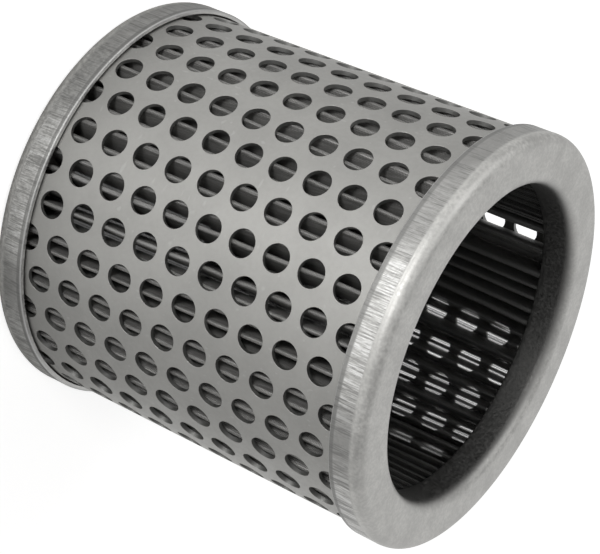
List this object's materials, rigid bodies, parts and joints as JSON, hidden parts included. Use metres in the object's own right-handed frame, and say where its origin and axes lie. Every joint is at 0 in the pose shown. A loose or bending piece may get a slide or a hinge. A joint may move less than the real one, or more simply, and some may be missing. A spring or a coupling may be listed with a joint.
{
  "type": "hydraulic filter",
  "caption": "Cylindrical hydraulic filter element: a pleated wire mesh inside a perforated steel tube, with an open channel-shaped steel cap on each end.",
  "frame": {"origin": "centre of the rear end cap's outer face, where the filter stands", "axes": "+Z along the filter's axis, from the rear end cap to the front one; +X through a row of holes"},
  "size_m": [0.0774, 0.0774, 0.0798],
  "materials": {
    "cap_steel": "satin, drawn",
    "tube_steel": "satin",
    "wire_mesh": "woven wire",
    "adhesive": "cured potting compound"
  },
  "bodies": {
    "root": {"front_end_cap": "cap_steel", "rear_end_cap": "cap_steel", "perforated_tube": "tube_steel", "pleated_mesh": "wire_mesh", "front_adhesive": "adhesive", "rear_adhesive": "adhesive"}
  },
  "joints": []
}
